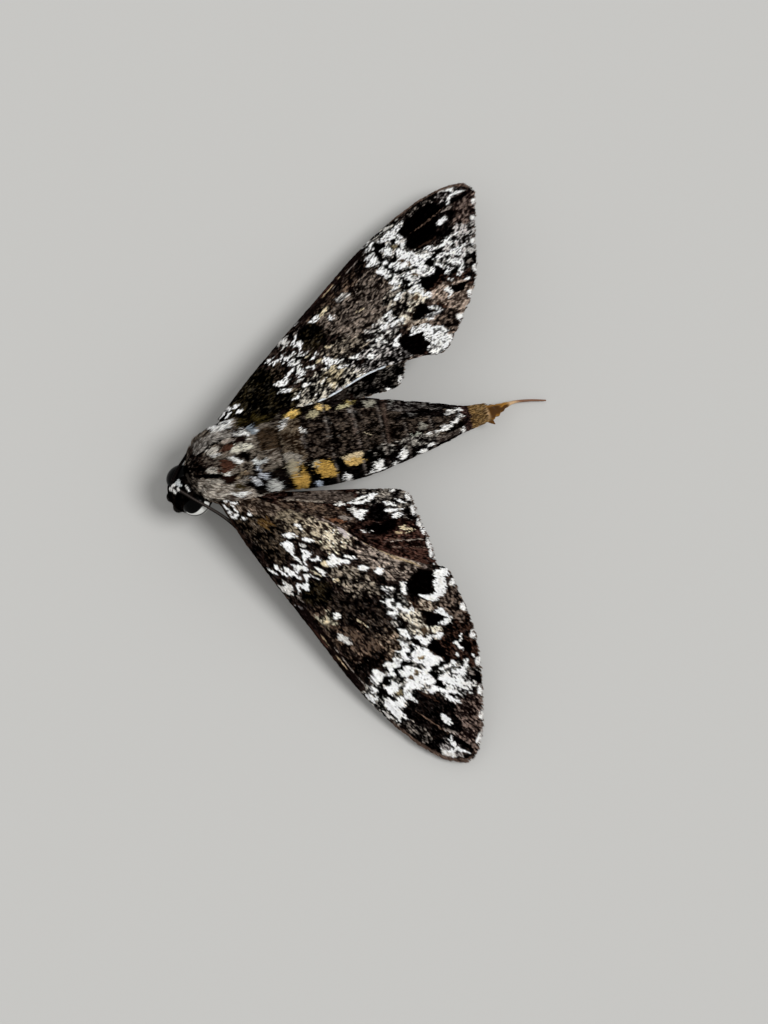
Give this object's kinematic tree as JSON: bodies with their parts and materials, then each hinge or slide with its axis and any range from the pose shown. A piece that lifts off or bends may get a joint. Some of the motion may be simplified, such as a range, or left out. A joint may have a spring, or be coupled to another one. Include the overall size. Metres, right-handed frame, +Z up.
{
  "type": "hawk moth",
  "caption": "Life-size still model of a mottled brown, black and white hawk moth resting on the floor with wings spread and yellow spots on its sides.",
  "frame": {"origin": "centre of the bounding box's underside, on the floor under the feet", "axes": "+Z up, +Y towards the tail, -Y the way the head points, +X towards the moth's own left wing"},
  "size_m": [0.0874, 0.0608, 0.0146],
  "materials": {
    "fur_head": "short black and dark grey scale fur",
    "eye": "glossy black",
    "proboscis": "satin brown",
    "antenna": "fine grey-brown scales",
    "fur_thorax": "soft grey-brown hair with white, black and rust tufts",
    "fur_abdomen": "flat dark brown scales with yellow side spots",
    "tail_tuft": "ochre hair tuft",
    "tail_tip": "amber brown, slightly waxy",
    "wing_fore": "mottled black, brown and white scales",
    "wing_hind": "dark brown scales with pale marks",
    "leg": "grey-brown scales"
  },
  "bodies": {
    "root": {"head": "fur_head", "palp_l": "fur_head", "palp_r": "fur_head", "collar": "fur_head", "eye_l": "eye", "eye_r": "eye", "proboscis": "proboscis", "antenna_l": "antenna", "antenna_r": "antenna", "thorax": "fur_thorax", "tegula_l": "fur_thorax", "tegula_r": "fur_thorax", "abdomen_1": "fur_abdomen", "abdomen_2": "fur_abdomen", "abdomen_3": "fur_abdomen", "abdomen_4": "fur_abdomen", "abdomen_5": "fur_abdomen", "abdomen_6": "fur_abdomen", "abdomen_7": "fur_abdomen", "tail_tuft": "tail_tuft", "tail_tip": "tail_tip", "wing_fore_l": "wing_fore", "wing_fore_r": "wing_fore", "wing_hind_l": "wing_hind", "wing_hind_r": "wing_hind", "leg_fore_l": "leg", "leg_fore_r": "leg", "leg_mid_l": "leg", "leg_mid_r": "leg", "leg_hind_l": "leg", "leg_hind_r": "leg"}
  },
  "joints": []
}
